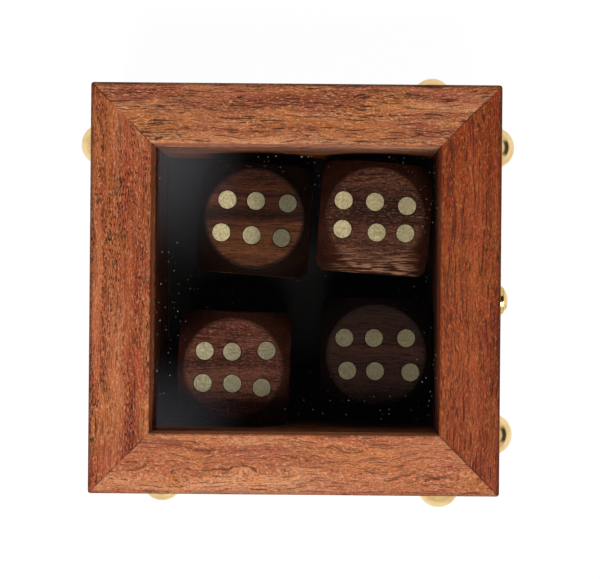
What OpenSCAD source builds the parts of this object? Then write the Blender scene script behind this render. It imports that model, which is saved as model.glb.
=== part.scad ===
// Wooden dice box with a hinged, glazed lid, brass dome nails, a swing hook and four inlaid dice.
// Front is -Y, the hinges are at +Y, and the origin is the middle of the underside. Millimetres.

/* [Box] */
// Outer width and depth of the box and of its lid
box_w = 88; // [82:1:100]
// Height of the box walls, from the table to the rim
body_h = 38; // [36:1:50]
// Thickness of the walls, and width of the lid's rails
wall_t = 13; // [11:0.5:14]
// Radius of the eased upright corners
corner_r = 0.8; // [0.4:0.1:2]
// Thickness of the bottom board
board_t = 5; // [4:0.5:7]
// How far the bottom board is let into the walls
board_let = 5; // [3:0.5:7]
// Height of the bottom board above the table
board_up = 1; // [0.5:0.5:2]
// Thickness of the felt on the floor
felt_t = 1; // [0.5:0.1:2]

/* [Lid] */
// Height of the lid's rails
lid_h = 11.8; // [11:0.2:16]
// Gap between the rim and the closed lid
lid_gap = 0.2; // [0.2:0.05:0.4]
// Radius of the lid's eased edges
ease_r = 0.6; // [0.3:0.1:1]
// Thickness of the glass
glass_t = 2; // [1.6:0.1:3]
// Depth of the glass below the top of the lid
glass_drop = 8; // [4:0.5:8]
// How far the groove for the glass goes into the rails
glass_let = 3; // [2:0.5:4]

/* [Dice] */
// Edge length of a die
die_s = 25; // [22:0.5:26]
// Share of a die's edge that its flat round faces span
face_share = 0.9; // [0.88:0.01:0.97]
// Radius of a brass pip
pip_r = 2; // [1.5:0.1:2.4]
// Depth of a brass pip
pip_t = 2; // [1:0.25:3]
// Distance between pips along a row
pip_pitch = 6.9; // [5.5:0.1:7]
// Distance between the two rows of the six
row_pitch = 7.2; // [5.5:0.1:8]

/* [Dome nails] */
// Radius of a nail's domed head
nail_head_r = 4.7; // [3:0.1:5]
// Height of a nail's domed head
nail_head_h = 4.4; // [2:0.1:4.5]
// Radius of a nail's shank
nail_shank_r = 0.9; // [0.6:0.1:1.2]
// Length of a nail's shank
nail_len = 9; // [6:0.5:10]
// Distance of the upper nails below the rim
nail_drop_high = 6.4; // [6:0.2:8]
// Distance of the lower nails below the rim
nail_drop_low = 15; // [12:0.5:18]
// Distance of the upper nails from the corner beside them
nail_inset_high = 12; // [10:0.5:14]
// Distance of the lower nails from the corner beside them
nail_inset_low = 13.6; // [10:0.2:16]

/* [Hinges] */
// Length of a hinge along the back
hinge_len = 14; // [12:0.5:18]
// Distance from the side of the box to the middle of a hinge
hinge_inset = 25; // [24:0.5:28]
// Depth of a leaf, from the pin to its inner edge
leaf_d = 9; // [7:0.5:10]
// Thickness of a leaf
leaf_t = 0.6; // [0.5:0.1:0.8]
// Outer radius of a knuckle
knuckle_r = 1.2; // [1.1:0.05:1.5]
// Radius of a hinge pin
hinge_pin_r = 0.55; // [0.4:0.05:0.7]
// Radius of a hinge screw's shank
hinge_screw_r = 0.7; // [0.5:0.1:0.9]
// Length of a hinge screw
hinge_screw_len = 6; // [4:0.5:8]

/* [Hook] */
// Offset of the hook's pivot from the middle of the front
hook_x = -2; // [-6:0.5:2]
// Distance from the hook's pivot to its notch
hook_len = 13.5; // [13:0.25:15]
// Thickness of the hook
hook_t = 0.7; // [0.5:0.1:1]
// Radius of the hook's eye
hook_eye_r = 3.1; // [2.8:0.1:3.6]
// Width of the hook's arm
hook_arm_w = 3.4; // [2.6:0.1:4]
// Radius of the hook's end
hook_end_r = 3; // [2.8:0.1:3.4]
// Angle from the hanging hook to the hooked one
hook_catch_angle = 22; // [20:0.5:26]
// Radius of the hook screw's shank
hook_screw_r = 1.2; // [1:0.1:1.5]
// Radius of the hook screw's head
hook_head_r = 2.9; // [2.6:0.1:3.2]
// Height of the hook screw's head
hook_head_h = 1.1; // [0.8:0.1:1.6]
// Radius of the catch peg's shank
peg_r = 0.9; // [0.7:0.1:1.1]
// Radius of the catch peg's head
peg_head_r = 1.9; // [1.6:0.1:2.1]
// Height of the catch peg's head
peg_head_h = 0.9; // [0.6:0.1:1.2]

/* [Hidden] */
DICE = ["die_back_right", "die_front_right", "die_back_left", "die_front_left"];
PIPS = ["pips_back_right", "pips_front_right", "pips_back_left", "pips_front_left"];
NAILS = [
    "dome_nail_front_right", "dome_nail_front_left", "dome_nail_left_front",
    "dome_nail_left_back", "dome_nail_right", "dome_nail_back"
];
SIDES = ["left", "right"];
WALLS = ["front", "right", "back", "left"];

WOOD = "#a8583a";
DARK_WOOD = "#4a2418";
BRASS = "#c9a85a";
$fn = 64;
eps = 0.01;      // overshoot of a cut past the face it opens
seat_gap = 0.1;  // clearance of a loose piece on its seat
fit_gap = 0.05;  // radial clearance of a running fit
snug_gap = 0.02; // radial clearance of a driven nail, screw or pin
side_gap = 0.3;  // clearance of a piece beside a wall

half_w = box_w / 2;
cavity_w = box_w - 2 * wall_t;
floor_z = board_up + board_t;
felt_top = floor_z + felt_t;
lid_z = body_h + lid_gap;
lid_top = lid_z + lid_h;
axis_z = body_h + lid_gap / 2;
glass_z = lid_top - glass_drop - glass_t;

// Turns a piece drawn for the front to wall number i, counted anticlockwise from the front.
module on_wall(i) {
    rotate([0, 0, 90 * i]) children();
}

// A square with round corners, made of true arcs.
module eased_square(w, r) {
    square([w - 2 * r, w], center = true);
    square([w, w - 2 * r], center = true);
    for (sx = [-1, 1], sy = [-1, 1])
        translate([sx * (w / 2 - r), sy * (w / 2 - r)]) circle(r);
}

// One mitred side of a square frame, at the front, from z to z + h.
module mitred_side(z, h) {
    translate([0, 0, z]) linear_extrude(h) intersection() {
        eased_square(box_w, corner_r);
        polygon([
            [-half_w, -half_w], [half_w, -half_w],
            [half_w - wall_t, wall_t - half_w], [wall_t - half_w, wall_t - half_w]
        ]);
    }
}

// Cuts one long outer or inner edge of a rail round, along the front. The edge is at [y, z].
module edge_ease(y, z, sy, sz, r) {
    translate([0, y, z]) rotate([90, 0, 90]) linear_extrude(box_w + 2, center = true) difference() {
        translate([sy > 0 ? -r : -eps, sz > 0 ? -r : -eps]) square(r + eps);
        translate([-sy * r, -sz * r]) circle(r);
    }
}

// Places a piece drawn with its foot at the origin and its head towards -Y on a wall's outer face.
module on_face(i, along, z) {
    on_wall(i) translate([along, -half_w, z]) children();
}

// Nails: wall, place along it, height.
nail_places = [
    [0, half_w - nail_inset_high, body_h - nail_drop_high],
    [0, nail_inset_high - half_w, body_h - nail_drop_high],
    [3, half_w - nail_inset_high, body_h - nail_drop_high],
    [3, nail_inset_low - half_w, body_h - nail_drop_low],
    [1, nail_inset_low - half_w, body_h - nail_drop_low],
    [2, nail_inset_high - half_w, body_h - nail_drop_high]
];

module nail_shank(r) {
    tip = 2 * nail_shank_r;
    rotate([-90, 0, 0]) {
        translate([0, 0, -eps]) cylinder(h = nail_len - tip + eps, r = r);
        translate([0, 0, nail_len - tip]) cylinder(h = tip, r1 = r, r2 = r - nail_shank_r * 0.8);
    }
}

module dome_nail(p) {
    ball_r = (pow(nail_head_r, 2) + pow(nail_head_h, 2)) / (2 * nail_head_h);
    color(BRASS) on_face(p[0], p[1], p[2]) {
        intersection() {
            translate([0, ball_r - nail_head_h, 0]) sphere(ball_r);
            translate([-nail_head_r, -nail_head_h, -nail_head_r])
                cube([2 * nail_head_r, nail_head_h, 2 * nail_head_r]);
        }
        nail_shank(nail_shank_r);
    }
}

// Hinges: a hinge's parts are drawn with the pin along X, at the height of the seam.
knuckle_gap = 0.1;
knuckle_len = (hinge_len - 2 * knuckle_gap) / 3;
notch_r = knuckle_r + side_gap;
leaf_screw_x = hinge_len / 2 - 3.2;
leaf_screw_d = leaf_d / 2 + 0.8;
screw_head_r = 2 * hinge_screw_r;

function hinge_x(i) = (i == 0 ? -1 : 1) * (half_w - hinge_inset);

module at_hinge(i) {
    translate([hinge_x(i), half_w, axis_z]) children();
}

module along_pin(r, len) {
    rotate([0, 90, 0]) cylinder(h = len, r = r, center = true);
}

// Room for a hinge in the wood. side is -1 for the wall below the seam and 1 for the rail above.
module hinge_mortise(i, side) {
    leaf_floor = lid_gap / 2 + leaf_t;
    at_hinge(i) {
        along_pin(notch_r, hinge_len + 2 * side_gap);
        translate([-hinge_len / 2, -leaf_d, side > 0 ? 0 : -leaf_floor])
            cube([hinge_len, leaf_d, leaf_floor]);
        for (sx = [-1, 1])
            translate([sx * leaf_screw_x, -leaf_screw_d, side * leaf_floor])
                rotate([side > 0 ? 0 : 180, 0, 0]) translate([0, 0, -eps])
                    cylinder(h = hinge_screw_len - leaf_t + 0.5, r = hinge_screw_r + snug_gap);
    }
}

// A hinge screw with its head flush in the leaf. The foot of its head is at z = 0 and its tip is at +z.
module hinge_screw(extra) {
    cylinder(h = leaf_t, r1 = screw_head_r + extra, r2 = hinge_screw_r + extra);
    cylinder(h = hinge_screw_len, r = hinge_screw_r + extra);
}

module leaf_screws(i, side, extra) {
    at_hinge(i) for (sx = [-1, 1])
        translate([sx * leaf_screw_x, -leaf_screw_d, side * lid_gap / 2])
            rotate([side > 0 ? 0 : 180, 0, 0]) hinge_screw(extra);
}

// One leaf with its share of the three knuckles: the outer two below, the middle one above.
module hinge_leaf(i, side) {
    own = side > 0 ? [0] : [-1, 1];
    bore_r = hinge_pin_r + (side > 0 ? fit_gap : snug_gap);
    plate_z = side > 0 ? lid_gap / 2 : -lid_gap / 2 - leaf_t;
    color(BRASS) difference() {
        at_hinge(i) difference() {
            union() {
                translate([-hinge_len / 2, -leaf_d, plate_z])
                    cube([hinge_len, leaf_d - notch_r, leaf_t]);
                for (k = own) translate([k * (knuckle_len + knuckle_gap), 0, 0]) {
                    along_pin(knuckle_r, knuckle_len);
                    translate([-knuckle_len / 2, -notch_r - eps, plate_z])
                        cube([knuckle_len, notch_r + eps, leaf_t]);
                }
            }
            along_pin(bore_r, hinge_len + 2);
        }
        leaf_screws(i, side, snug_gap);
    }
}

module hinge_pin(i) {
    color(BRASS) at_hinge(i) along_pin(hinge_pin_r, hinge_len);
}

module hinge_screws(side) {
    color(BRASS) for (i = [0, 1]) leaf_screws(i, side, 0);
}

// Hook: its pivot is on the front rail and its peg is on the front wall.
hook_z = lid_z + lid_h / 2;
plate_y = seat_gap + hook_t + seat_gap;
screw_depth = 8;
peg_x = hook_x + hook_len * sin(hook_catch_angle);
peg_z = hook_z - hook_len * cos(hook_catch_angle);
notch_half = peg_r + 0.25;
hook_end_x = hook_end_r - notch_half - 1.5;

module shank(r, proud, depth) {
    translate([0, -proud, 0]) rotate([-90, 0, 0]) cylinder(h = proud + depth, r = r);
}

// A low domed head with a screwdriver slot. Its foot is at y = 0 and it points to -Y.
module round_head(r, h) {
    ball_r = (r * r + h * h) / (2 * h);
    slot_w = 0.28 * r;
    difference() {
        intersection() {
            translate([0, ball_r - h, 0]) sphere(ball_r);
            translate([-r, -h, -r]) cube([2 * r, h, 2 * r]);
        }
        translate([-r - 1, -h - 1, -slot_w / 2]) cube([2 * r + 2, 1 + h * 0.55, slot_w]);
    }
}

module hook_screw() {
    color(BRASS) translate([hook_x, -half_w, hook_z]) {
        translate([0, -plate_y, 0]) rotate([0, 35, 0]) round_head(hook_head_r, hook_head_h);
        shank(hook_screw_r, plate_y + eps, screw_depth);
    }
}

module catch_peg() {
    color(BRASS) translate([peg_x, -half_w, peg_z]) {
        translate([0, -plate_y, 0]) rotate([0, 80, 0]) round_head(peg_head_r, peg_head_h);
        shank(peg_r, plate_y + eps, screw_depth);
    }
}

// The hook's outline, seen from the front with the pivot at the origin. Its notch opens to +X,
// on an arc round the pivot, so that it slides over the peg as the hook swings.
module hook_outline() {
    difference() {
        union() {
            circle(hook_eye_r);
            translate([-hook_arm_w / 2, -hook_len]) square([hook_arm_w, hook_len]);
            translate([-hook_end_x, -hook_len - 0.3]) circle(hook_end_r);
            translate([-hook_end_x - 1.6, -hook_len - hook_end_r - 0.9]) circle(1.7);
        }
        circle(hook_screw_r + fit_gap);
        translate([0, -hook_len]) circle(notch_half);
        intersection() {
            difference() {
                circle(hook_len + notch_half);
                circle(hook_len - notch_half);
            }
            translate([0, -hook_len - 4]) square([hook_end_r * 3, 8]);
        }
    }
}

module latch_hook() {
    color(BRASS) translate([hook_x, -half_w - seat_gap, hook_z])
        rotate([90, 0, 0]) linear_extrude(hook_t) hook_outline();
}

// Box walls: the front one is number 0.
module wall(i) {
    color(WOOD) difference() {
        on_wall(i) difference() {
            mitred_side(0, body_h);
            translate([-half_w, wall_t - half_w - board_let, -eps])
                cube([box_w, board_let + eps, floor_z + eps]);
            edge_ease(-half_w, body_h, -1, 1, ease_r / 2);
            edge_ease(-half_w, 0, -1, -1, ease_r);
        }
        for (p = nail_places) if (p[0] == i)
            on_face(p[0], p[1], p[2]) nail_shank(nail_shank_r + snug_gap);
        if (i == 0) translate([peg_x, -half_w, peg_z]) shank(peg_r + snug_gap, eps, screw_depth + snug_gap);
        if (i == 2) for (h = [0, 1]) hinge_mortise(h, -1);
    }
}

module bottom_board() {
    w = cavity_w + 2 * board_let;
    color(WOOD) translate([-w / 2, -w / 2, board_up]) cube([w, w, board_t]);
}

module felt_lining() {
    w = cavity_w - 2 * side_gap;
    color("#0c0b0b") translate([-w / 2, -w / 2, floor_z]) cube([w, w, felt_t]);
}

// Lid rails: the front one is number 0.
module lid_rail(i) {
    color(WOOD) difference() {
        on_wall(i) difference() {
            mitred_side(lid_z, lid_h);
            translate([-half_w, wall_t - half_w - glass_let, glass_z])
                cube([box_w, glass_let + eps, glass_t + seat_gap]);
            edge_ease(-half_w, lid_top, -1, 1, ease_r);
            edge_ease(wall_t - half_w, lid_top, 1, 1, ease_r);
            edge_ease(-half_w, lid_z, -1, -1, ease_r / 2);
        }
        if (i == 0) translate([hook_x, -half_w, hook_z])
            shank(hook_screw_r + snug_gap, eps, screw_depth + snug_gap);
        if (i == 2) for (h = [0, 1]) hinge_mortise(h, 1);
    }
}

module lid_glass() {
    w = cavity_w + 2 * (glass_let - side_gap);
    color("#9fb4b8", 0.35) translate([-w / 2, -w / 2, glass_z]) cube([w, w, glass_t]);
}

// Dice: the play that the cavity leaves is shared out before, between and behind each pair.
// For each die: its end of X, its end of Y, its share of the play to each wall, and its turn.
die_places = [
    [1, 1, 0.196, 0.935, -4],
    [1, -1, 0.138, 0.007, -3.9],
    [-1, 1, 0.031, 0.465, -1.5],
    [-1, -1, 0.436, 0.019, -0.7]
];
face_r = face_share * die_s / 2;
die_ball_r = sqrt(pow(die_s / 2, 2) + pow(face_r, 2));
widest_turn = 4;
function half_span(turn) = die_s / 2 * cos(turn) + face_r * sin(abs(turn));
die_play = cavity_w - 2 * side_gap - 4 * half_span(widest_turn);
die_z = felt_top + seat_gap + die_s / 2;

function die_at(end, share, turn) =
    end * (cavity_w / 2 - side_gap - share * die_play - half_span(turn));

module at_die(i) {
    p = die_places[i];
    translate([die_at(p[0], p[2], p[4]), die_at(p[1], p[3], p[4]), die_z]) rotate([0, 0, p[4]]) children();
}

// Pips of each face as [across, along] in steps of the pitches, with opposite faces adding to seven.
one = [[0, 0]];
two = [[-1, -1], [1, 1]];
three = [[-1, -1], [0, 0], [1, 1]];
four = [[-1, -1], [-1, 1], [1, -1], [1, 1]];
five = [[-1, -1], [-1, 1], [0, 0], [1, -1], [1, 1]];
six = [[0.5, 1], [0.5, 0], [0.5, -1], [-0.5, 1], [-0.5, 0], [-0.5, -1]];
faces = [
    [six, [0, 0, 0], row_pitch],
    [one, [180, 0, 0], 0],
    [three, [90, 0, 0], 0.8 * pip_pitch],
    [four, [-90, 0, 0], 0.8 * pip_pitch],
    [five, [0, 90, 0], 0.8 * pip_pitch],
    [two, [0, -90, 0], 0.8 * pip_pitch]
];

// How far each hand-set pip strays from the even grid, the same for the hole and the brass.
// The sixes are set as their makers left them, and the other faces stray at random.
stray = 0.35;
six_strays = [
    [0.1, -0.6, 0.3, -0.1, 0.3, -0.3, -0.1, 0.2, -0.2, 0.3, -0.3, 0.5],
    [-0.4, 0.4, -0.2, 0.3, -0.6, 0, 0.4, 0.2, 0.2, -0.6, 0.5, -0.1],
    [0, -0.4, 0, 0.4, 0.5, -0.4, 0, -0.2, 0.1, 0.1, -0.6, 0.4],
    [0, 0.3, 0.1, 0.6, 0.2, 0.3, -0.1, -0.5, -0.1, 0.2, -0.2, -0.8]
];
function strays(die, face, n) =
    face == 0 ? six_strays[die] : rands(-stray, stray, 2 * n, 100 * die + face + 11);

module pip_plugs(die, r, t) {
    for (f = [0 : len(faces) - 1]) {
        marks = faces[f][0];
        across = faces[f][2];
        along = f == 0 ? pip_pitch : across;
        off = strays(die, f, len(marks));
        rotate(faces[f][1]) for (m = [0 : len(marks) - 1])
            translate([marks[m][0] * across + off[2 * m], marks[m][1] * along + off[2 * m + 1], die_s / 2 - t])
                cylinder(h = t, r = r);
    }
}

module die(i) {
    color(DARK_WOOD) at_die(i) difference() {
        intersection() {
            cube(die_s, center = true);
            sphere(die_ball_r);
        }
        pip_plugs(i, pip_r + snug_gap, pip_t);
    }
}

module pips(i) {
    color(BRASS) at_die(i) pip_plugs(i, pip_r, pip_t);
}

for (i = [0 : 3]) wall(i);
bottom_board();
felt_lining();
for (i = [0 : 5]) dome_nail(nail_places[i]);
for (i = [0, 1]) hinge_leaf(i, -1);
for (i = [0, 1]) hinge_leaf(i, 1);
for (i = [0, 1]) hinge_pin(i);
hinge_screws(-1);  // hinge_body_screws
hinge_screws(1);  // hinge_lid_screws
catch_peg();
for (i = [0 : 3]) lid_rail(i);
lid_glass();
hook_screw();
latch_hook();
for (i = [0 : 3]) die(i);
for (i = [0 : 3]) pips(i);
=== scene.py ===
"""Dresses the dice box: rosewood, sheet glass, brass and felt, under a white light tent."""

from __future__ import annotations

import logging
import math
import random
from dataclasses import dataclass, field
from enum import Enum
from typing import Any

import bmesh
import bpy
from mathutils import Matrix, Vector

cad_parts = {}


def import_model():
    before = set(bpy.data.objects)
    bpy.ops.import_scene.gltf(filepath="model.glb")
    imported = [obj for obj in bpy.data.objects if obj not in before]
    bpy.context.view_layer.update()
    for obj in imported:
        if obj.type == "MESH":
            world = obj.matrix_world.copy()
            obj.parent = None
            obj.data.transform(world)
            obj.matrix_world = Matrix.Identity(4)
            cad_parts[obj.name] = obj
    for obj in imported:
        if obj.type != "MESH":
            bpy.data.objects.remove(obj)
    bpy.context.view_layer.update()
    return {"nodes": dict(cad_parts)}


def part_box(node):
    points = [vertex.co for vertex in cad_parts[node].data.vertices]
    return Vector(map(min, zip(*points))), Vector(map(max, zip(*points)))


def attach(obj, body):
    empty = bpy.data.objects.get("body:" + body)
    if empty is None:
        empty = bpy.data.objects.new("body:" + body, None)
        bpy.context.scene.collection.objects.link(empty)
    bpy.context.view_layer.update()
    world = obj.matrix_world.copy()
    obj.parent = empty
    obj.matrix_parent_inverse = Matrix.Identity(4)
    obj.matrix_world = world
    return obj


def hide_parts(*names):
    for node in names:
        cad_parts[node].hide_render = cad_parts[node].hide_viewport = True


LOG = logging.getLogger("dice_box")
MM = 0.001
SHARP_ANGLE = math.radians(28)

Tree = bpy.types.NodeTree
Socket = bpy.types.NodeSocket
Piece = bpy.types.Object

# Settings that many nodes share.
ABSOLUTE, ADD, MAXIMUM, MULTIPLY, SCALE, SUBTRACT = (
    {"operation": kind} for kind in ("ABSOLUTE", "ADD", "MAXIMUM", "MULTIPLY", "SCALE", "SUBTRACT")
)
FLOAT, RGBA = {"data_type": "FLOAT"}, {"data_type": "RGBA"}
SMOOTH = {"interpolation_type": "SMOOTHSTEP"}


class Along(Enum):
    """The axis that a board's grain runs along, as the turn that lays the pattern's X on it."""

    X = (0.0, 0.0, 0.0)
    Y = (0.0, 0.0, -math.pi / 2)


def linear(code: str) -> tuple[float, float, float, float]:
    """Turns an sRGB hex colour into linear values.

    Args:
        code: The colour, such as "#a8583a".

    Returns:
        Linear red, green and blue, and an alpha of 1.
    """
    parts = [int(code[i : i + 2], 16) / 255 for i in (1, 3, 5)]
    low = [p / 12.92 if p <= 0.04045 else ((p + 0.055) / 1.055) ** 2.4 for p in parts]
    return (low[0], low[1], low[2], 1.0)


def add_node(
    tree: Tree,
    kind: str,
    settings: dict[str, Any] | None = None,
    inputs: dict[Any, Any] | None = None,
) -> bpy.types.Node:
    """Adds a node with its settings, values and links.

    Args:
        tree: The node tree that takes the node.
        kind: The node's type name.
        settings: Properties of the node itself.
        inputs: A value, a socket to link from, or a node for its first output, by the input's name or number.

    Returns:
        The new node.
    """
    node = tree.nodes.new(kind)
    for key, value in (settings or {}).items():
        setattr(node, key, value)
    for key, value in (inputs or {}).items():
        if isinstance(value, bpy.types.Node):
            value = value.outputs[0]
        if isinstance(value, Socket):
            tree.links.new(value, node.inputs[key])
        else:
            node.inputs[key].default_value = value
    return node


def new_material(name: str) -> tuple[bpy.types.Material, Tree]:
    """Makes an empty node material.

    Args:
        name: The finish's name.

    Returns:
        The material and its cleared node tree.
    """
    material = bpy.data.materials.new(name)
    material.use_nodes = True
    material.node_tree.nodes.clear()
    return material, material.node_tree


def set_ramp(node: bpy.types.Node, stops: list[tuple[float, str]]) -> None:
    """Fills a colour ramp.

    Args:
        node: The ColorRamp node.
        stops: Position and hex colour of each stop, in order.
    """
    ramp = node.color_ramp
    while len(ramp.elements) > 2:
        ramp.elements.remove(ramp.elements[-1])
    while len(ramp.elements) < len(stops):
        ramp.elements.new(0.5)
    for element, (place, code) in zip(ramp.elements, stops):
        element.position = place
        element.color = linear(code)


def from_middle(tree: Tree, place: Socket) -> tuple[Any, Socket, Socket, Socket]:
    """Adds how far a point of the box lies from its middle, seen from above.

    Args:
        tree: The material's node tree.
        place: Object coordinates, in metres.

    Returns:
        The point's three coordinates, its distances along X and along Y, and the greater of the two.
    """
    axes = add_node(tree, "ShaderNodeSeparateXYZ", {}, {0: place}).outputs
    x, y = [add_node(tree, "ShaderNodeMath", ABSOLUTE, {0: axes[i]}).outputs[0] for i in (0, 1)]
    return axes, x, y, add_node(tree, "ShaderNodeMath", MAXIMUM, {0: x, 1: y}).outputs[0]


@dataclass(frozen=True)
class Figure:
    """One kind of mark in wood: its size, its detail, and the noise levels where it starts and is full."""

    long_mm: float
    wide_mm: float
    detail: float
    starts: float
    full: float


# Fibres, pits and dashes are 0.02 to 0.2 mm wide in real rosewood, and are drawn a pixel wide to show.
FINE_MM = 0.24
# Growth lines break off along their length, and the broken ends of fibres catch the light 1 mm at a time.
BREAKS = Figure(9.0, 3.0, 2.0, 0.42, 0.6)
FLECKS = Figure(0.9, FINE_MM, 2.0, 0.54, 0.68)
# Open pores: pits under 1 mm and dashes of 2 to 3 mm, which crowd in bands, and lines of up to 1 cm.
BANDS = Figure(30.0, 2.2, 2.0, 0.4, 0.6)
PITS = Figure(0.8, FINE_MM, 0.0, 0.6, 0.65)
DASHES = Figure(3.0, FINE_MM, 1.0, 0.58, 0.62)
LONG_PORES = Figure(8.5, 0.36, 1.5, 0.61, 0.65)


@dataclass(frozen=True)
class Rosewood:
    """Oiled rosewood, planed and sanded: long fibres, open dark pores and wavy darker growth lines."""

    name: str
    dark: str
    mid: str
    light: str
    along: Along
    seed: float = 0.0
    pore: str = "#210b05"
    fleck: str = "#e3a67c"
    warm: str = "#ba6f33"
    rose: str = "#9a4a38"
    patches: float = 0.4
    long_pores: float = 0.7
    short_pores: float = 0.5
    pits: float = 0.4
    flecks: float = 0.35
    line_mm: float = 1.3
    wave_mm: float = 1.2
    roughness: float = 0.45
    shine: float = 0.15
    fibre: float = 0.26
    speckle: float = 0.24
    # How strong the painted highlight streaks on a die's flank are, and their colour.
    flank_highlight: float = 0.0
    painted_highlight: str = "#b0745a"
    mitred: bool = True
    mitre_line: tuple[float, float] = (0.32 * MM, 0.05 * MM)
    open_mitre: tuple[float, float] = (-58 * MM, -66 * MM)
    # Whether a board gets a darker outer arris and a painted highlight along the inner one.
    arris_marks: bool = False
    outer_edge: tuple[float, float] = (44.0 * MM, 50.0 * MM)
    inner_edge: tuple[float, float] = (31.0 * MM, 50.0 * MM)
    # How dark the painted shade is on the faces towards the dice, and the height that it starts above.
    inside: float = 0.0
    inside_shade_above: float = 5.7 * MM
    # The colour of the painted shade inside the box and on a die's corners, and how far it covers the corners.
    shade_colour: str = "#1c0a06"
    corner_shade: float = 0.72

    def glue_line(self, tree: Tree, place: Socket, wood: Socket) -> Socket:
        """Darkens a hair's breadth of wood along the mitres, where glue and wax gather.

        Args:
            tree: The material's node tree.
            place: Object coordinates, in metres.
            wood: The wood's colour.

        Returns:
            The colour with its mitre lines.
        """
        axes, x, y, _ = from_middle(tree, place)
        apart = add_node(tree, "ShaderNodeMath", SUBTRACT, {0: x, 1: y})
        away = add_node(tree, "ShaderNodeMath", ABSOLUTE, {0: apart})
        line = add_node(
            tree, "ShaderNodeMapRange", SMOOTH,
            {"Value": away, "From Min": self.mitre_line[0], "From Max": self.mitre_line[1], "To Max": 0.8},
        )
        uneven = add_node(
            tree, "ShaderNodeTexNoise", {}, {"Vector": place, "Scale": 1 / (5 * MM), "Detail": 1.0}
        )
        share = add_node(
            tree, "ShaderNodeMapRange", SMOOTH, {"Value": uneven, "From Min": 0.3, "From Max": 0.62}
        )
        # The left front mitre has opened a little and is dark all along.
        both = add_node(tree, "ShaderNodeMath", ADD, {0: axes[0], 1: axes[1]})
        opened = add_node(
            tree, "ShaderNodeMapRange", SMOOTH,
            {"Value": both, "From Min": self.open_mitre[0], "From Max": self.open_mitre[1]},
        )
        most = add_node(tree, "ShaderNodeMath", MAXIMUM, {0: share, 1: opened})
        amount = add_node(tree, "ShaderNodeMath", MULTIPLY, {0: line, 1: most})
        return add_node(tree, "ShaderNodeMix", RGBA, {0: amount, 6: wood, 7: linear(self.pore)}).outputs[2]

    def painted_inside_shade(self, tree: Tree, place: Socket, wood: Socket) -> Socket:
        """Darkens the faces towards the dice nearly black: painted shade inside the box, where little light
        reaches.

        Args:
            tree: The material's node tree.
            place: Object coordinates, in metres.
            wood: The wood's colour.

        Returns:
            The colour with its painted shade.
        """
        axes, _, _, out = from_middle(tree, place)
        face = self.inner_edge[0]
        share = add_node(
            tree, "ShaderNodeMapRange", SMOOTH,
            {"Value": out, "From Min": face + 0.5 * MM, "From Max": face + 0.1 * MM, "To Max": self.inside},
        )
        above = add_node(
            tree, "ShaderNodeMapRange", SMOOTH,
            {"Value": axes[2], "From Min": self.inside_shade_above, "From Max": self.inside_shade_above + 0.1 * MM},
        )
        both = add_node(tree, "ShaderNodeMath", MULTIPLY, {0: share, 1: above})
        return add_node(tree, "ShaderNodeMix", RGBA, {0: both, 6: wood, 7: linear(self.shade_colour)}).outputs[2]

    def darker_outer_lit_inner_arris(self, tree: Tree, place: Socket, wood: Socket) -> Socket:
        """Darkens the outer arris, and lightens the inner one here and there as a painted highlight.

        Args:
            tree: The material's node tree.
            place: Object coordinates, in metres.
            wood: The wood's colour.

        Returns:
            The colour with its darker outer arris and painted highlight.
        """
        axes, _, _, out = from_middle(tree, place)
        inward = add_node(tree, "ShaderNodeMath", ADD, {0: out, 1: axes[2]})
        level = sum(self.outer_edge)
        outer = add_node(
            tree, "ShaderNodeMapRange", SMOOTH,
            {"Value": inward, "From Min": level - 1.2 * MM, "From Max": level - 0.3 * MM, "To Max": 0.45},
        )
        darkened = add_node(tree, "ShaderNodeMix", RGBA, {0: outer, 6: wood, 7: linear(self.pore)})
        outward = add_node(tree, "ShaderNodeMath", SUBTRACT, {0: axes[2], 1: out})
        level = self.inner_edge[1] - self.inner_edge[0]
        inner = add_node(
            tree, "ShaderNodeMapRange", SMOOTH,
            {"Value": outward, "From Min": level - 1.3 * MM, "From Max": level - 0.5 * MM, "To Max": 0.22},
        )
        patch = add_node(
            tree, "ShaderNodeTexNoise", {}, {"Vector": place, "Scale": 1 / (1.1 * MM), "Detail": 3.0}
        )
        some = add_node(
            tree, "ShaderNodeMapRange", SMOOTH, {"Value": patch, "From Min": 0.45, "From Max": 0.65}
        )
        # Painted highlight in patches along the inner arris.
        painted_highlight = add_node(tree, "ShaderNodeMath", MULTIPLY, {0: inner, 1: some})
        return add_node(
            tree, "ShaderNodeMix", RGBA, {0: painted_highlight, 6: darkened.outputs[2], 7: linear(self.fleck)}
        ).outputs[2]

    def shaded_corners_lit_flank(self, tree: Tree, place: Socket, wood: Socket, centre: Vector, radius: float) -> Socket:
        """Darkens a die's tumbled corners as painted shade, where they turn away from the light, and paints a
        highlight on one flank.

        Args:
            tree: The material's node tree.
            place: Object coordinates, in metres.
            wood: The wood's colour.
            centre: The middle of the die.
            radius: The radius that its corners are tumbled to.

        Returns:
            The colour with its painted shade and painted highlight.
        """
        offset = add_node(tree, "ShaderNodeVectorMath", SUBTRACT, {0: place, 1: tuple(centre)})
        away = add_node(tree, "ShaderNodeVectorMath", {"operation": "DISTANCE"}, {0: place, 1: tuple(centre)})
        share = add_node(
            tree, "ShaderNodeMapRange", SMOOTH,
            {"Value": away.outputs["Value"], "From Min": radius - 0.7 * MM, "From Max": radius - 0.05 * MM,
             "To Max": self.corner_shade},
        )
        darkened = add_node(tree, "ShaderNodeMix", RGBA, {0: share, 6: wood, 7: linear(self.shade_colour)})
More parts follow.
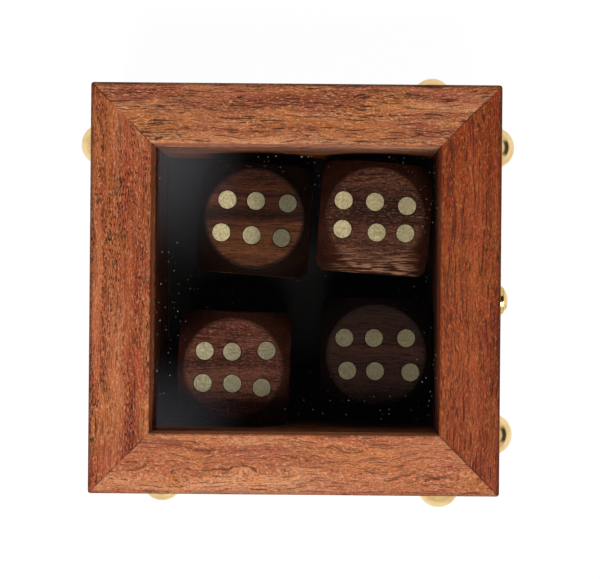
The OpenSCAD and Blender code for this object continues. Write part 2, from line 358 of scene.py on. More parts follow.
        # Painted highlight: pale streaks on the left side, away from its ends, in lines about 0.3 mm wide, where
        # the flank catches the light.
        axes = add_node(tree, "ShaderNodeSeparateXYZ", {}, {0: offset}).outputs
        side = add_node(
            tree, "ShaderNodeMapRange", SMOOTH,
            {"Value": axes[0], "From Min": -5 * MM, "From Max": -11.5 * MM, "To Max": self.flank_highlight},
        )
        across = add_node(tree, "ShaderNodeMath", ABSOLUTE, {0: axes[1]})
        middle = add_node(
            tree, "ShaderNodeMapRange", SMOOTH, {"Value": across, "From Min": 11 * MM, "From Max": 6 * MM}
        )
        scaled = add_node(
            tree, "ShaderNodeVectorMath", MULTIPLY, {0: place, 1: (1 / (0.34 * MM), 1 / (5 * MM), 1 / (9 * MM))}
        )
        noise = add_node(tree, "ShaderNodeTexNoise", {}, {"Vector": scaled, "Scale": 1.0, "Detail": 2.0})
        lines = add_node(
            tree, "ShaderNodeMapRange", SMOOTH, {"Value": noise, "From Min": 0.48, "From Max": 0.62}
        )
        painted_highlight = side
        for part in (middle, lines):
            painted_highlight = add_node(tree, "ShaderNodeMath", MULTIPLY, {0: painted_highlight, 1: part})
        return add_node(
            tree, "ShaderNodeMix", RGBA, {0: painted_highlight, 6: darkened.outputs[2], 7: linear(self.painted_highlight)}
        ).outputs[2]

    def streak(self, tree: Tree, place: Socket, long_mm: float, wide_mm: float, detail: float) -> Socket:
        """Adds a noise drawn out along the grain.

        Args:
            tree: The material's node tree.
            place: Coordinates in millimetres, with the grain along X.
            long_mm: Size of a streak along the grain.
            wide_mm: Size of a streak across it.
            detail: The noise's detail.

        Returns:
            The noise's factor.
        """
        scaled = add_node(
            tree, "ShaderNodeVectorMath", MULTIPLY, {0: place, 1: (1 / long_mm, 1 / wide_mm, 1 / wide_mm)}
        )
        return add_node(
            tree, "ShaderNodeTexNoise", {}, {"Vector": scaled, "Scale": 1.0, "Detail": detail}
        ).outputs[0]

    def marks(self, tree: Tree, place: Socket, figure: Figure, top: float = 1.0) -> Socket:
        """Adds one kind of mark, as streaks that fade in where their noise is high.

        Args:
            tree: The material's node tree.
            place: Coordinates in millimetres, with the grain along X.
            figure: The mark's size and levels.
            top: How strong the mark is where it is full.

        Returns:
            The mark's share.
        """
        streak = self.streak(tree, place, figure.long_mm, figure.wide_mm, figure.detail)
        return add_node(
            tree, "ShaderNodeMapRange", SMOOTH,
            {"Value": streak, "From Min": figure.starts, "From Max": figure.full, "To Max": top},
        ).outputs[0]

    def material(self, ball_centre: Vector | None = None, ball_radius: float = 0.0) -> bpy.types.Material:
        """Builds the finish.

        Args:
            ball_centre: The middle of a tumbled die, or None for a board.
            ball_radius: The radius that a die's corners are tumbled to.

        Returns:
            The node material.
        """
        material, tree = new_material(self.name)
        coords = add_node(tree, "ShaderNodeTexCoord").outputs["Object"]
        turned = add_node(
            tree, "ShaderNodeMapping", {"vector_type": "POINT"},
            {"Vector": coords, "Location": (self.seed * 37.0, self.seed * 11.0, self.seed * 5.0),
             "Rotation": self.along.value, "Scale": (1 / MM, 1 / MM, 1 / MM)},
        )
        # The fibres wander sideways over a few centimetres, as in interlocked grain.
        drift_at = add_node(
            tree, "ShaderNodeVectorMath", MULTIPLY, {0: turned, 1: (1 / 26.0, 1 / 11.0, 1 / 11.0)}
        )
        drift = add_node(tree, "ShaderNodeTexNoise", {}, {"Vector": drift_at, "Scale": 1.0, "Detail": 2.0})
        centred = add_node(tree, "ShaderNodeVectorMath", SUBTRACT, {0: drift.outputs[1], 1: (0.5, 0.5, 0.5)})
        place = add_node(
            tree, "ShaderNodeVectorMath", {"operation": "MULTIPLY_ADD"},
            {0: centred, 1: (0.0, 4 * self.wave_mm, 4 * self.wave_mm), 2: turned},
        ).outputs[0]

        ramp = add_node(tree, "ShaderNodeValToRGB", {}, {0: self.streak(tree, place, 55.0, 4.5, 3.0)})
        set_ramp(ramp, [(0.30, self.dark), (0.48, self.mid), (0.68, self.light)])
        wood = ramp.outputs[0]

        # The heartwood changes from orange to rose in patches a centimetre or two long.
        patch = self.streak(tree, place, 15.0, 5.0, 2.0)
        for starts, full, colour in ((0.51, 0.64, self.warm), (0.49, 0.36, self.rose)):
            share = add_node(
                tree, "ShaderNodeMapRange", SMOOTH,
                {"Value": patch, "From Min": starts, "From Max": full, "To Max": self.patches},
            )
            wood = add_node(tree, "ShaderNodeMix", RGBA, {0: share, 6: wood, 7: linear(colour)}).outputs[2]

        # Growth lines: thin, dark and broken along their length.
        line = self.marks(tree, place, Figure(38.0, self.line_mm, 1.0, 0.57, 0.66))
        for share in (self.marks(tree, place, BREAKS), 0.5):
            line = add_node(tree, "ShaderNodeMath", MULTIPLY, {0: line, 1: share}).outputs[0]
        wood = add_node(tree, "ShaderNodeMix", RGBA, {0: line, 6: wood, 7: linear(self.dark)}).outputs[2]

        # Fibres, and the sanded ends of fibres, shade the colour up and down.
        fibre = self.streak(tree, place, 5.0, FINE_MM, 3.0)
        grit = self.streak(tree, place, 0.42, FINE_MM, 1.0)
        shades = [
            add_node(
                tree, "ShaderNodeMapRange", {},
                {"Value": streak, "From Min": 0.32, "From Max": 0.68, "To Min": 1 - depth, "To Max": 1 + depth},
            )
            for streak, depth in ((fibre, self.fibre), (grit, self.speckle))
        ]
        texture = add_node(tree, "ShaderNodeMath", MULTIPLY, {0: shades[0], 1: shades[1]})
        wood = add_node(tree, "ShaderNodeVectorMath", SCALE, {0: wood, 3: texture}).outputs[0]

        # Flecks lie over the colour, and the pores over both.
        fleck = self.marks(tree, place, FLECKS, self.flecks)
        wood = add_node(tree, "ShaderNodeMix", RGBA, {0: fleck, 6: wood, 7: linear(self.fleck)}).outputs[2]
        pit = self.marks(tree, place, PITS, self.pits)
        dash = self.marks(tree, place, DASHES, self.short_pores)
        closer = add_node(tree, "ShaderNodeMath", MAXIMUM, {0: pit, 1: dash})
        crowded = add_node(tree, "ShaderNodeMath", MULTIPLY, {0: closer, 1: self.marks(tree, place, BANDS)})
        pores = add_node(
            tree, "ShaderNodeMath", MAXIMUM,
            {0: crowded, 1: self.marks(tree, place, LONG_PORES, self.long_pores)},
        ).outputs[0]
        wood = add_node(tree, "ShaderNodeMix", RGBA, {0: pores, 6: wood, 7: linear(self.pore)}).outputs[2]

        if self.mitred:
            wood = self.glue_line(tree, coords, wood)
        # Painted shade on the faces towards the dice.
        if self.inside:
            wood = self.painted_inside_shade(tree, coords, wood)
        # A darker outer arris, and a painted highlight in patches along the inner one.
        if self.arris_marks:
            wood = self.darker_outer_lit_inner_arris(tree, coords, wood)
        # Painted shade on a die's corners, and a painted highlight on one flank.
        if ball_centre is not None:
            wood = self.shaded_corners_lit_flank(tree, coords, wood, ball_centre, ball_radius)

        # Pores are duller than the wood round them, and lie a little below it.
        rough = add_node(
            tree, "ShaderNodeMath", {"operation": "MULTIPLY_ADD"}, {0: pores, 1: 0.25, 2: self.roughness}
        )
        depth = add_node(tree, "ShaderNodeMath", {"operation": "MULTIPLY_ADD"}, {0: pores, 1: -1.0, 2: fibre})
        bump = add_node(tree, "ShaderNodeBump", {}, {"Strength": 0.6, "Distance": 0.12 * MM, "Height": depth})
        shader = add_node(
            tree, "ShaderNodeBsdfPrincipled", {},
            {"Base Color": wood, "Roughness": rough, "IOR": 1.48,
             "Specular IOR Level": self.shine, "Normal": bump},
        )
        add_node(tree, "ShaderNodeOutputMaterial", {}, {"Surface": shader})
        return material


@dataclass(frozen=True)
class DieWood(Rosewood):
    """The dark heartwood that the dice are cut from, even in colour, tumbled and oiled."""

    along: Along = Along.Y
    pore: str = "#120604"
    patches: float = 0.0
    line_mm: float = 0.8
    shine: float = 0.1
    fibre: float = 0.4
    mitred: bool = False


@dataclass(frozen=True)
class Brass:
    """Brass, polished, brushed or sanded: warm metal with fine scratches and slightly duller patches."""

    name: str
    colour: str
    dull: str
    roughness: float
    scratch: float = 0.3
    scratch_mm: float = 0.25
    bare: float = 1.0
    # The colour of the painted shade towards the front of a die's pips.
    front_shade: str = ""
    patch_mm: float = 3.0
    grain: float = 0.0
    grain_mm: float = 0.5

    def shaded_towards_front(self, tree: Tree, place: Socket, brass: Socket, middle: Vector) -> Socket:
        """Shades a die's pips darker towards the front, over 10 mm of the die: painted shade, in place of the
        reflection that brightens the back pips.

        Args:
            tree: The material's node tree.
            place: Object coordinates, in metres.
            brass: The brass's colour.
            middle: The middle of the die.

        Returns:
            The colour with its painted shade.
        """
        offset = add_node(tree, "ShaderNodeVectorMath", SUBTRACT, {0: place, 1: tuple(middle)})
        axes = add_node(tree, "ShaderNodeSeparateXYZ", {}, {0: offset})
        share = add_node(
            tree, "ShaderNodeMapRange", {}, {"Value": axes.outputs[1], "From Min": 6 * MM, "From Max": -4 * MM}
        )
        return add_node(tree, "ShaderNodeMix", RGBA, {0: share, 6: brass, 7: linear(self.front_shade)}).outputs[2]

    def material(self, middle: Vector | None = None) -> bpy.types.Material:
        """Builds the finish.

        Args:
            middle: The middle of the die that the brass is let into, or None.

        Returns:
            The node material.
        """
        material, tree = new_material(self.name)
        coords = add_node(tree, "ShaderNodeTexCoord").outputs["Object"]
        patch = add_node(
            tree, "ShaderNodeTexNoise", {}, {"Vector": coords, "Scale": 1 / (self.patch_mm * MM), "Detail": 3.0}
        )
        # Scratches run one way, as a cloth or a belt leaves them, and are drawn a pixel apart to show.
        apart = 1 / (self.scratch_mm * MM)
        drawn = add_node(tree, "ShaderNodeVectorMath", MULTIPLY, {0: coords, 1: (apart, 1 / (4 * MM), apart)})
        scratch = add_node(tree, "ShaderNodeTexNoise", {}, {"Vector": drawn, "Scale": 1.0, "Detail": 2.0})
        ramp = add_node(tree, "ShaderNodeValToRGB", {}, {0: patch})
        set_ramp(ramp, [(0.35, self.dull), (0.62, self.colour)])
        brass = ramp.outputs[0]
        # Painted shade across a die's pips, darker towards the front.
        if self.front_shade and middle is not None:
            brass = self.shaded_towards_front(tree, coords, brass, middle)
        if self.grain:
            # Sanding leaves a grain of about half a millimetre.
            sanded = add_node(
                tree, "ShaderNodeTexNoise", {},
                {"Vector": coords, "Scale": 1 / (self.grain_mm * MM), "Detail": 1.0},
            )
            amount = add_node(
                tree, "ShaderNodeMapRange", {},
                {"Value": sanded, "From Min": 0.3, "From Max": 0.7,
                 "To Min": 1 - self.grain, "To Max": 1 + self.grain},
            )
            brass = add_node(tree, "ShaderNodeVectorMath", SCALE, {0: brass, 3: amount}).outputs[0]
        rough = add_node(
            tree, "ShaderNodeMapRange", {},
            {"Value": scratch, "From Min": 0.3, "From Max": 0.7,
             "To Min": self.roughness * (1 - self.scratch), "To Max": self.roughness * (1 + self.scratch)},
        )
        bump = add_node(
            tree, "ShaderNodeBump", {}, {"Strength": self.scratch, "Distance": 0.01 * MM, "Height": scratch}
        )
        shader = add_node(
            tree, "ShaderNodeBsdfPrincipled", {},
            {"Base Color": brass, "Metallic": self.bare, "Roughness": rough, "Normal": bump},
        )
        add_node(tree, "ShaderNodeOutputMaterial", {}, {"Surface": shader})
        return material


@dataclass(frozen=True)
class PipBrass(Brass):
    """Brass discs sanded flush with the wood, partly bare and partly dulled by handling."""

    scratch: float = 0.2
    scratch_mm: float = 0.3
    bare: float = 0.5
    patch_mm: float = 0.7
    grain: float = 0.22


@dataclass(frozen=True)
class SheetGlass:
    """Float glass: clear, mirror-smooth and dusty, so it shows a faint reflection and pale specks.

    Dust is far finer than the specks, which are drawn a pixel wide to show.
    """

    name: str = "dusty_sheet_glass"
    index: float = 1.5
    speck_mm: float = 0.22
    cell_mm: float = 1.0
    drift_mm: float = 16.0
    rail_at: float = 31.0 * MM

    def material(self) -> bpy.types.Material:
        """Builds the finish.

        Returns:
            The node material.
        """
        material, tree = new_material(self.name)
        coords = add_node(tree, "ShaderNodeTexCoord").outputs["Object"]
        specks = add_node(
            tree, "ShaderNodeTexVoronoi", {}, {"Vector": coords, "Scale": 1 / (self.cell_mm * MM)}
        )
        dot = add_node(
            tree, "ShaderNodeMapRange", SMOOTH,
            {"Value": specks.outputs["Distance"], "From Min": self.speck_mm / self.cell_mm, "From Max": 0.0},
        )
        pick = add_node(tree, "ShaderNodeSeparateColor", {}, {0: specks.outputs["Color"]})
        chosen = add_node(tree, "ShaderNodeMapRange", {}, {"Value": pick, "From Min": 0.66, "From Max": 1.0})
        drift = add_node(
            tree, "ShaderNodeTexNoise", {}, {"Vector": coords, "Scale": 1 / (self.drift_mm * MM), "Detail": 2.0}
        )
        drifts = add_node(
            tree, "ShaderNodeMapRange", SMOOTH,
            {"Value": drift, "From Min": 0.42, "From Max": 0.6, "To Min": 0.2},
        )
        # A cloth pushes the dust outwards, so most of it lies along the rails.
        swept = add_node(
            tree, "ShaderNodeMapRange", SMOOTH,
            {"Value": from_middle(tree, coords)[3], "From Min": self.rail_at - 11 * MM,
             "From Max": self.rail_at - 1 * MM, "To Min": 0.12},
        )
        dust = dot
        for share in (chosen, drifts, swept):
            dust = add_node(tree, "ShaderNodeMath", MULTIPLY, {0: dust, 1: share})
        clear = add_node(tree, "ShaderNodeBsdfTransparent", {}, {"Color": linear("#f7f7f4")})
        mirror = add_node(tree, "ShaderNodeBsdfGlossy", {}, {"Color": (1.0, 1.0, 1.0, 1.0), "Roughness": 0.03})
        # A ray isn't bent inside the pane, so its far face is read from outside as well.
        faces = add_node(tree, "ShaderNodeNewGeometry")
        index = add_node(
            tree, "ShaderNodeMapRange", {},
            {"Value": faces.outputs["Backfacing"], "To Min": self.index, "To Max": 1 / self.index},
        )
        fresnel = add_node(tree, "ShaderNodeFresnel", {}, {"IOR": index})
        pane = add_node(tree, "ShaderNodeMixShader", {}, {0: fresnel, 1: clear, 2: mirror})
        grit = add_node(tree, "ShaderNodeBsdfDiffuse", {}, {"Color": linear("#9a9a98")})
        dusty = add_node(tree, "ShaderNodeMixShader", {}, {0: dust, 1: pane, 2: grit})
        add_node(tree, "ShaderNodeOutputMaterial", {}, {"Surface": dusty})
        return material


@dataclass(frozen=True)
class Felt:
    """Pressed wool felt, dyed black: a dull nap of short tangled fibres, in tufts of half a millimetre."""

    name: str = "pressed_wool_felt"
    colour: str = "#121112"
    nap: str = "#1d1b1c"
    nap_mm: float = 0.5

    def material(self) -> bpy.types.Material:
        """Builds the finish.

        Returns:
            The node material.
        """
        material, tree = new_material(self.name)
        coords = add_node(tree, "ShaderNodeTexCoord").outputs["Object"]
        tangle = add_node(
            tree, "ShaderNodeTexNoise", {},
            {"Vector": coords, "Scale": 1 / (self.nap_mm * MM), "Detail": 4.0, "Distortion": 1.5},
        )
        ramp = add_node(tree, "ShaderNodeValToRGB", {}, {0: tangle})
        set_ramp(ramp, [(0.35, self.colour), (0.7, self.nap)])
        bump = add_node(tree, "ShaderNodeBump", {}, {"Strength": 0.8, "Distance": 0.2 * MM, "Height": tangle})
        shader = add_node(
            tree, "ShaderNodeBsdfPrincipled", {},
            {"Base Color": ramp, "Roughness": 0.95, "Specular IOR Level": 0.15,
             "Sheen Weight": 0.1, "Sheen Roughness": 0.6, "Normal": bump},
        )
        add_node(tree, "ShaderNodeOutputMaterial", {}, {"Surface": shader})
        return material


def deselect() -> None:
    """Clears the selection, because an operator acts on all that is selected."""
    for thing in bpy.context.selected_objects:
        thing.select_set(False)


def make_active(piece: Piece) -> None:
    """Selects one piece alone and makes it active."""
    deselect()
    piece.select_set(True)
    bpy.context.view_layer.objects.active = piece


def apply_all(piece: Piece) -> None:
    """Applies a piece's modifiers in order, and its place."""
    make_active(piece)
    for modifier in list(piece.modifiers):
        bpy.ops.object.modifier_apply(modifier=modifier.name)
    bpy.ops.object.transform_apply(location=True, rotation=True, scale=True)


def cut(piece: Piece, cutter: Piece, operation: str = "DIFFERENCE") -> None:
    """Cuts a piece with another, and removes the cutter.

    Args:
        piece: The piece to cut.
        cutter: The piece that cuts.
        operation: INTERSECT or DIFFERENCE.
    """
    modifier = piece.modifiers.new("cut", "BOOLEAN")
    modifier.operation = operation
    modifier.solver = "EXACT"
    modifier.object = cutter
    make_active(piece)
    bpy.ops.object.modifier_apply(modifier=modifier.name)
    bpy.data.objects.remove(cutter)


def welded_copy(node: Piece, name: str, grow: float = 0.0) -> Piece:
    """Copies a CAD node's mesh into a new piece, with its doubled points merged.

    Args:
        node: The CAD node, which stays as it is.
        name: The new piece's name.
        grow: How far the copy's faces are pushed out.

    Returns:
        The piece.
    """
    piece = bpy.data.objects.new(name, node.data.copy())
    bpy.context.scene.collection.objects.link(piece)
    make_active(piece)
    bpy.ops.object.mode_set(mode="EDIT")
    bpy.ops.mesh.select_all(action="SELECT")
    bpy.ops.mesh.remove_doubles(threshold=0.001 * MM)
    bpy.ops.mesh.normals_make_consistent(inside=False)
    if grow:
        bpy.ops.transform.shrink_fatten(value=grow)
    bpy.ops.object.mode_set(mode="OBJECT")
    return piece


def dress(piece: Piece, material: bpy.types.Material) -> None:
    """Puts one material in every slot of a piece."""
    if not piece.material_slots:
        piece.data.materials.append(material)
    for slot in piece.material_slots:
        slot.material = material


@dataclass
class Camera:
    """The camera over the box: straight down, a little in front of the box's middle."""

    nadir: tuple[float, float] = (-0.75 * MM, -7.46 * MM)
    lid_top: float = 50.0 * MM
    distance: float = 390.0 * MM
    view_width: float = 128.14 * MM
    sensor: float = 36.0
    roll: float = math.radians(0.5)
    shift: tuple[float, float] = (-0.05, 0.006)

    def build(self) -> None:
        """Makes the camera and hands it to the scene."""
        data = bpy.data.cameras.new("camera")
        data.sensor_width = self.sensor
        data.lens = self.sensor * self.distance / self.view_width
        data.shift_x, data.shift_y = self.shift
        data.clip_start = 0.01
        camera = bpy.data.objects.new("camera", data)
        bpy.context.scene.collection.objects.link(camera)
        camera.location = (self.nadir[0], self.nadir[1], self.lid_top + self.distance)
        camera.rotation_euler = (0.0, 0.0, -math.pi / 2 + self.roll)
        bpy.context.scene.camera = camera


@dataclass
class Studio:
    """A white light tent with a dark opening overhead, a white floor and one soft lamp."""

    floor_size: float = 3.0
    tent: float = 0.95
    opening: tuple[float, float] = (0.74, 0.84)
    dark: float = 0.008
    room: float = 0.08
    haze: float = 0.45
    front: float = 0.36
    back: float = 0.03
    right: float = 0.35
    overhead: float = 0.07
    gap_height: float = 0.27
    floor_seen: float = 0.97
    floor_cast: float = 0.5
    lamp_at: tuple[float, float, float] = (-0.45, -0.02, 0.75)
    lamp_size: float = 0.4
    lamp_watts: float = 7.8

    def world(self) -> None:
        """Builds the tent: white all round, dark at the top, where the camera looks in."""
        world = bpy.data.worlds.new("light_tent")
        bpy.context.scene.world = world
        world.use_nodes = True
        tree = world.node_tree
        tree.nodes.clear()
        coords = add_node(tree, "ShaderNodeTexCoord")
        axes = add_node(tree, "ShaderNodeSeparateXYZ", {}, {0: coords.outputs["Generated"]})
        x, y, z = axes.outputs
        aside = add_node(tree, "ShaderNodeMath", ABSOLUTE, {0: x})
        height = add_node(tree, "ShaderNodeMath", SUBTRACT, {0: z, 1: self.gap_height})
        off = add_node(tree, "ShaderNodeMath", ABSOLUTE, {0: height})
        # Each soft edge: the direction that it is read along, where it starts and ends, and its two levels.
        soft = {}
        for name, along, span, levels in (
            # What metal and glass mirror: white cloth all round, and the dark opening with its pale edges.
            ("cloth", z, self.opening, (self.tent, self.dark)),
            ("behind", y, (0.040, 0.092), (0.0, self.haze)),
            ("right", x, (0.008, 0.085), (0.0, 1.5)),
            ("left", x, (-0.028, -0.072), (0.0, 0.8)),
            # Low in front of the box the cloth stands open on the dark room.
            ("between", aside, (0.36, 0.72), (1.0, 0.0)),
            ("ahead", y, (-0.3, -0.5), (0.0, 1.0)),
            ("level", off, (0.14, 0.36), (1.0, 0.0)),
            # What lights matt surfaces: the front of the tent, where the windows are, more than its back.
            ("front", y, (-0.35, 0.4), (self.front, self.back)),
            ("beside", x, (0.4, 0.9), (0.0, self.right)),
        ):
            soft[name] = add_node(
                tree, "ShaderNodeMapRange", SMOOTH,
                {"Value": along, "From Min": span[0], "From Max": span[1],
                 "To Min": levels[0], "To Max": levels[1]},
            )
        corners = add_node(tree, "ShaderNodeMath", MAXIMUM, {0: soft["right"], 1: soft["left"]})
        edges = add_node(tree, "ShaderNodeMath", MULTIPLY, {0: soft["behind"], 1: corners})
        gap = soft["between"]
        for name in ("ahead", "level"):
            gap = add_node(tree, "ShaderNodeMath", MULTIPLY, {0: gap, 1: soft[name]})
        cloth = add_node(tree, "ShaderNodeMix", FLOAT, {0: gap, 2: soft["cloth"], 3: self.room})
        mirrored = add_node(tree, "ShaderNodeMath", MAXIMUM, {0: cloth, 1: edges})
        low = add_node(tree, "ShaderNodeMath", ADD, {0: soft["front"], 1: soft["beside"]})
        cast = add_node(
            tree, "ShaderNodeMapRange", SMOOTH,
            {"Value": z, "From Min": 0.25, "From Max": 0.8, "To Min": low, "To Max": self.overhead},
        )
        path = add_node(tree, "ShaderNodeLightPath").outputs
        lit = add_node(tree, "ShaderNodeMix", FLOAT, {0: path["Is Diffuse Ray"], 2: mirrored, 3: cast})
        seen = add_node(
            tree, "ShaderNodeMath", MAXIMUM, {0: path["Is Camera Ray"], 1: path["Is Transmission Ray"]}
        )
        strength = add_node(tree, "ShaderNodeMix", FLOAT, {0: seen, 2: lit, 3: 1.0})
        above = add_node(
            tree, "ShaderNodeMapRange", {},
            {"Value": z, "From Min": self.opening[0], "From Max": self.opening[1]},
        )
        tint = add_node(tree, "ShaderNodeMix", RGBA, {0: above, 6: linear("#ffffff"), 7: linear("#f2f1ff")})
        light = add_node(tree, "ShaderNodeBackground", {}, {"Color": tint.outputs[2], "Strength": strength})
        add_node(tree, "ShaderNodeOutputWorld", {}, {"Surface": light})

    def floor(self) -> None:
        """Lays the white floor, which shows white to the camera and still takes the shadow."""
        deselect()
        bpy.ops.mesh.primitive_plane_add(size=self.floor_size, location=(0, 0, -0.05 * MM))
        floor = bpy.context.active_object
        floor.name = "floor"
        apply_all(floor)
        material, tree = new_material("white_paper_sweep")
        paper = add_node(tree, "ShaderNodeBsdfDiffuse", {}, {"Color": linear("#606060")})
        path = add_node(tree, "ShaderNodeLightPath")
        # White to the eye, in metal and through glass, and a plain level as what it throws back on the box.
        level = add_node(
            tree, "ShaderNodeMapRange", {},
            {"Value": path.outputs["Is Diffuse Ray"], "To Min": self.floor_seen, "To Max": self.floor_cast},
        )
        glow = add_node(tree, "ShaderNodeEmission", {}, {"Strength": level})
        both = add_node(tree, "ShaderNodeAddShader", {}, {0: paper, 1: glow})
        add_node(tree, "ShaderNodeOutputMaterial", {}, {"Surface": both})
        dress(floor, material)

    def lamp(self) -> None:
        """Hangs one soft lamp high over the left side of the box."""
        data = bpy.data.lights.new("softbox", "AREA")
        data.shape = "SQUARE"
        data.size = self.lamp_size
        data.energy = self.lamp_watts
        lamp = bpy.data.objects.new("softbox", data)
        bpy.context.scene.collection.objects.link(lamp)
        lamp.location = self.lamp_at
        aim = Vector((0, 0, 0.03)) - Vector(self.lamp_at)
        lamp.rotation_euler = aim.to_track_quat("-Z", "Y").to_euler()

    def build(self) -> None:
        """Builds the tent, the floor and the lamp."""
        self.world()
        self.floor()
        self.lamp()


@dataclass
class Carcass:
    """The box below the lid: walls, bottom board, felt and nails, and the hinges with their screws."""

    felt_cuts: int = 60
    felt_lift: float = 0.06 * MM
    felt_seed: int = 4
    slot_width: float = 0.45 * MM
    slot_depth: float = 0.35 * MM
    nodes: dict[str, Piece] = field(default_factory=dict)

    def slotted_screws(self, name: str, body: str, heads_up: bool, brass: bpy.types.Material) -> Piece:
        """Models a row of hinge screws again, with a driver slot across each flush head.

        Args:
            name: The screws' node.
            body: The body that they ride on.
            heads_up: Whether their heads look up.
            brass: Their finish.

        Returns:
            The screws.
        """
        screws = welded_copy(self.nodes[name], "slotted_" + name)
        low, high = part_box(name)
        deselect()
        # The heads stand in one row, so one long bar cuts all their slots.
        bpy.ops.mesh.primitive_cube_add(
            size=1, location=((low.x + high.x) / 2, (low.y + high.y) / 2, high.z if heads_up else low.z),
            scale=(high.x - low.x + 2 * MM, self.slot_width, 2 * self.slot_depth),
        )
        bar = bpy.context.active_object
        apply_all(bar)
        cut(screws, bar)
        make_active(screws)
        bpy.ops.object.shade_smooth_by_angle(angle=SHARP_ANGLE)
        dress(screws, brass)
        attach(screws, body)
        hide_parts(name)
        return screws

    def build_felt(self) -> Piece:
        """Models the felt as a thin, slightly uneven sheet where its solid lies.

        Returns:
            The sheet.
        """
        low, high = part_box("felt_lining")
        size = high - low
        deselect()
        bpy.ops.mesh.primitive_grid_add(
            x_subdivisions=self.felt_cuts, y_subdivisions=self.felt_cuts, size=size.x,
            location=((low.x + high.x) / 2, (low.y + high.y) / 2, low.z),
        )
        felt = bpy.context.active_object
        felt.name = "felt_sheet"
        bpy.ops.object.mode_set(mode="EDIT")
        bpy.ops.mesh.select_all(action="SELECT")
        bpy.ops.mesh.extrude_region_move(TRANSFORM_OT_translate={"value": (0, 0, size.z - self.felt_lift)})
        bpy.ops.mesh.select_all(action="SELECT")
        bpy.ops.mesh.normals_make_consistent(inside=False)
        bpy.ops.object.mode_set(mode="OBJECT")
        apply_all(felt)
        rng = random.Random(self.felt_seed)
        mesh = bmesh.new()
        mesh.from_mesh(felt.data)
        for vertex in mesh.verts:
            if vertex.co.z > low.z + size.z / 2:
                vertex.co.z += rng.uniform(-1, 1) * self.felt_lift / 2
        mesh.to_mesh(felt.data)
        mesh.free()
        dress(felt, Felt().material())
        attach(felt, "box")
        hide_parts("felt_lining")
        return felt

    def build(self) -> None:
        """Dresses the walls, the board and the brass of the box, and lays the felt."""
        # inside sets the painted shade on each board's faces towards the dice.
        woods = {
            "wall_front": Rosewood("box_front", "#6e2b12", "#94451f", "#b06038", Along.X, seed=1.3, inside=0.75),
            "wall_back": Rosewood("box_back", "#742f14", "#9b4e28", "#b86f42", Along.X, seed=2.6, inside=0.75),
            "wall_right": Rosewood("box_right", "#763518", "#a05830", "#c07c4c", Along.Y, seed=3.9, inside=0.3),
            "wall_left": Rosewood("box_left", "#803b1a", "#a95f33", "#c88350", Along.Y, seed=5.2, inside=0.2),
            "bottom_board": Rosewood(
                "box_bottom", "#70381c", "#9a5c36", "#b87d50", Along.X, seed=6.5, inside=0.9, mitred=False
            ),
        }
        for name, wood in woods.items():
            dress(self.nodes[name], wood.material())
            LOG.info("dressed %s", name)
        nails = Brass("polished_brass_nails", "#e8ca92", "#d3af72", roughness=0.09, scratch=0.25).material()
        plates = Brass("brushed_brass_hinges", "#dcbf78", "#d0b06a", roughness=0.28, scratch=0.14).material()
        screws = Brass("turned_brass_screws", "#b08a48", "#96743a", roughness=0.24, scratch=0.1).material()
        for name, node in self.nodes.items():
            if name.startswith("dome_nail"):
                dress(node, nails)
            elif name.startswith("hinge"):
                dress(node, plates)
        for name, body in (("hinge_body_screws", "box"), ("hinge_lid_screws", "lid")):
            piece = self.slotted_screws(name, body, body == "box", screws)
            LOG.info("modelled %s with %d faces", piece.name, len(piece.data.polygons))
        self.build_felt()
        LOG.info("laid the felt")


@dataclass
class Lid:
    """The glazed lid with its hook."""

    nodes: dict[str, Piece] = field(default_factory=dict)

    def build(self) -> None:
        """Dresses the rails, the pane and the latch."""
        woods = {
            "lid_rail_right": Rosewood(
                "lid_right", "#793a1d", "#a35d3a", "#c68658", Along.Y, seed=7.1, long_pores=0.8, short_pores=0.85,
                flecks=0.6, speckle=0.32, arris_marks=True
            ),
            "lid_rail_left": Rosewood(
                "lid_left", "#94492a", "#af643c", "#c6845b", Along.Y, seed=8.4, warm="#bf7237", rose="#a8583b",
                long_pores=0.6, short_pores=0.35, pits=0.25, flecks=0.5, line_mm=1.1, wave_mm=2.2, fibre=0.22,
                speckle=0.34, arris_marks=True
            ),
            "lid_rail_back": Rosewood(
                "lid_back", "#823316", "#a2502c", "#bd754b", Along.X, seed=9.7, warm="#ad6632", rose="#9c3f28",
                long_pores=0.5, short_pores=0.55, pits=0.9, flecks=0.45, speckle=0.28, arris_marks=True
            ),
            "lid_rail_front": Rosewood(
                "lid_front", "#5e2009", "#7f3212", "#944320", Along.X, seed=11.0, pore="#2a0f06", warm="#8c471b",
                rose="#86301a", fleck="#b8743e", long_pores=0.75, short_pores=0.6, pits=0.5, flecks=0.55,
                line_mm=1.5, fibre=0.28, speckle=0.26, arris_marks=True
            ),
        }
        for name, wood in woods.items():
            dress(self.nodes[name], wood.material())
            LOG.info("dressed %s", name)
        dress(self.nodes["lid_glass"], SheetGlass().material())
        latch = Brass("polished_brass_latch", "#e3c57e", "#d2b06a", roughness=0.16).material()
        for name in ("hook_screw", "latch_hook", "catch_peg"):
            dress(self.nodes[name], latch)


@dataclass(frozen=True)
class DieLook:
    """One die: its turn on the felt, its wood and its pips."""

    turn: float
    wood: DieWood
    brass: PipBrass


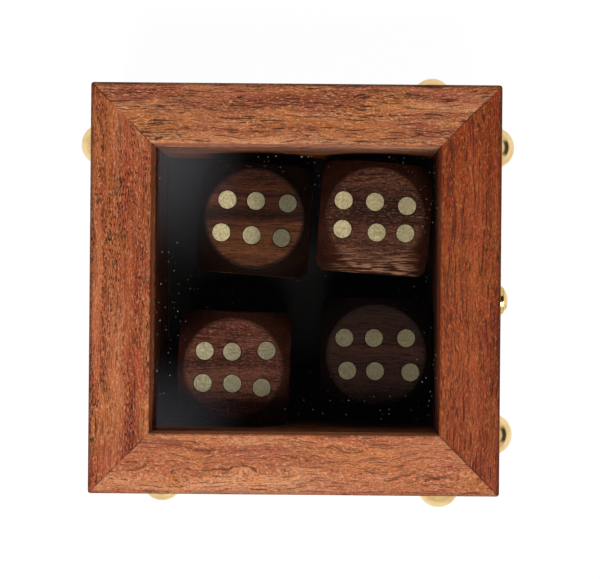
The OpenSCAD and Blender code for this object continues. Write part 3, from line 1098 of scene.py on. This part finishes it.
@dataclass
class Dice:
    """The four tumbled dice with their brass pips."""

    nodes: dict[str, Piece] = field(default_factory=dict)
    face_share: float = 0.9
    ball_segments: int = 96
    arris: float = 0.5 * MM
    arris_segments: int = 3
    arris_angle: float = math.radians(20)
    pip_gap: float = 0.24 * MM

    def looks(self) -> dict[str, DieLook]:
        """Gives each die's turn, wood and pips.

        Returns:
            The looks by node name, without the "die_".
        """
        # Each die's wood and pips differ partly in their own tone and partly as painted light: front_left's dark
        # wood and dim pips are a painted shadow of the left and front rails, and the other dice are set lighter
        # or darker by how much light reaches them.
        return {
            "back_right": DieLook(
                -4.0,
                DieWood("die_1", "#260f08", "#46200f", "#74432a", seed=12.3, fleck="#7c4830", flecks=0.3,
                        speckle=0.3, shade_colour="#0d0503", corner_shade=0.95),
                PipBrass("pips_1", "#fff0c6", "#ead4a2", 0.36, front_shade="#827a62"),
            ),
            "front_right": DieLook(
                -3.9,
                DieWood("die_2", "#2e140c", "#502a1d", "#744534", seed=13.6, pore="#120705", fleck="#a87860",
                        flecks=0.45, speckle=0.5, shade_colour="#2e1109", flank_highlight=0.8, painted_highlight="#c08c70"),
                PipBrass("pips_2", "#f8e6bc", "#d8c496", 0.36, front_shade="#c6b992"),
            ),
            "back_left": DieLook(
                -1.5,
                DieWood("die_3", "#361409", "#5a2a1f", "#7e4a39", seed=14.9, pore="#1c0a06", fleck="#a86a50",
                        flecks=0.7, speckle=0.55, line_mm=0.7, shine=0.12, shade_colour="#2c110b"),
                PipBrass("pips_3", "#cfc3a2", "#b3a482", 0.34, bare=0.6, front_shade="#988d74"),
            ),
            "front_left": DieLook(
                -0.7,
                DieWood("die_4", "#190905", "#28110b", "#391d15", seed=16.2, fleck="#5a3222", flecks=0.15,
                        line_mm=1.5, fibre=0.26, shine=0.08, shade_colour="#0d0503", corner_shade=0.95),
                PipBrass("pips_4", "#796d57", "#665b48", 0.4, bare=0.6, front_shade="#72674f"),
            ),
        }

    def build_die(self, name: str, look: DieLook) -> Piece:
        """Models one die: a cube tumbled to a ball's corners, its arris softened and its pips drilled.

        Args:
            name: The die's name, without the "die_".
            look: Its turn and wood.

        Returns:
            The die.
        """
        low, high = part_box("die_" + name)
        centre = (low + high) / 2
        side = high.z - low.z
        radius = side / 2 * math.hypot(1, self.face_share)
        turn = (0, 0, math.radians(look.turn))
        deselect()
        bpy.ops.mesh.primitive_cube_add(size=side, location=centre, rotation=turn)
        die = bpy.context.active_object
        die.name = "wooden_die_" + name
        deselect()
        bpy.ops.mesh.primitive_uv_sphere_add(
            segments=self.ball_segments, ring_count=self.ball_segments // 2, radius=radius, location=centre,
            rotation=turn,
        )
        cut(die, bpy.context.active_object, "INTERSECT")
        bevel = die.modifiers.new("arris", "BEVEL")
        bevel.width = self.arris
        bevel.segments = self.arris_segments
        bevel.limit_method = "ANGLE"
        bevel.angle_limit = self.arris_angle
        apply_all(die)
        cut(die, welded_copy(self.nodes["pips_" + name], "pip_cutter", self.pip_gap))
        make_active(die)
        bpy.ops.object.shade_smooth_by_angle(angle=SHARP_ANGLE)
        flat = die.modifiers.new("flat_faces", "WEIGHTED_NORMAL")
        flat.keep_sharp = True
        flat.weight = 100
        apply_all(die)
        dress(die, look.wood.material(ball_centre=centre, ball_radius=radius))
        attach(die, "die_" + name)
        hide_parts("die_" + name)
        return die

    def build(self) -> None:
        """Models the dice and dresses their pips."""
        for name, look in self.looks().items():
            die = self.build_die(name, look)
            low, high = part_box("die_" + name)
            dress(self.nodes["pips_" + name], look.brass.material((low + high) / 2))
            LOG.info("modelled %s with %d faces", die.name, len(die.data.polygons))


def main() -> None:
    """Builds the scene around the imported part."""
    logging.basicConfig(level=logging.INFO, format="%(name)s: %(message)s")
    bpy.context.scene.view_settings.view_transform = "Standard"
    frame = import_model()
    nodes = frame["nodes"]
    Camera().build()
    Studio().build()
    Carcass(nodes=nodes).build()
    Lid(nodes=nodes).build()
    Dice(nodes=nodes).build()


if __name__ == "__main__":
    main()
